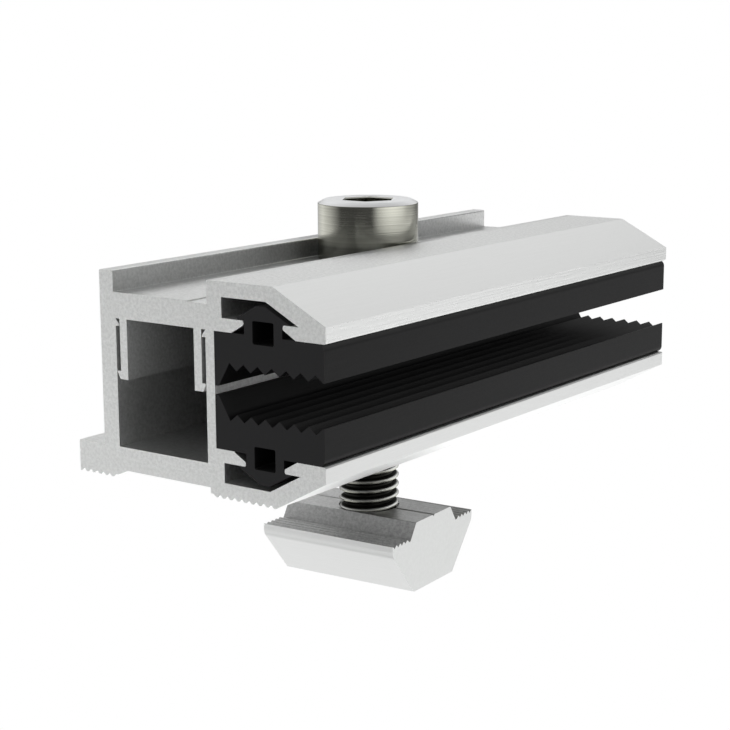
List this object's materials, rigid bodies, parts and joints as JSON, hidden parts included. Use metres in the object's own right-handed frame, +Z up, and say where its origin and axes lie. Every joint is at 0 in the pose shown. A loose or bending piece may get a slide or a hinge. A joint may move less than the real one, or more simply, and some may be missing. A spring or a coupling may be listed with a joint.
{
  "type": "solar end clamp",
  "caption": "End clamp for frameless solar modules: hooked sliding aluminium extrusions, toothed rubber jaw inserts, socket-head bolt and slot nut.",
  "frame": {"origin": "on the bolt's axis, in the plane of the serrated sole that sits on the mounting rail, at mid-length", "axes": "+X out of the jaw's mouth, along the rail; +Y along the extrusions, which is the module's edge; +Z up, towards the bolt's head"},
  "size_m": [0.0364, 0.08, 0.0498],
  "materials": {
    "extrusion": "mill finish, satin",
    "rubber": "matt black",
    "screw": "turned stainless",
    "nut": "mill finish, satin"
  },
  "bodies": {
    "base": {"base_profile": "extrusion", "lower_gasket": "rubber"},
    "cap": {"cap_profile": "extrusion", "upper_gasket": "rubber"},
    "bolt": {"socket_bolt": "screw"},
    "nut": {"slot_nut": "nut"}
  },
  "joints": [
    {"name": "jaw_slide", "type": "slide", "parent": "base", "child": "cap", "axis": [0, 0, 1], "range_m": [0, 0.00515]},
    {"name": "bolt_turn", "type": "hinge", "parent": "cap", "child": "bolt", "pos_m": [0, 0, 0.02175], "axis": [0, 0, 1], "range_deg": [-1620, 1440]},
    {"name": "nut_travel", "type": "slide", "parent": "cap", "child": "nut", "axis": [0, 0, 1], "range_m": [-0.005, 0.00562]}
  ],
  "couplings": [
    {"joint": "nut_travel", "follows": "bolt_turn", "m_per_rad": -0.00019894}
  ]
}
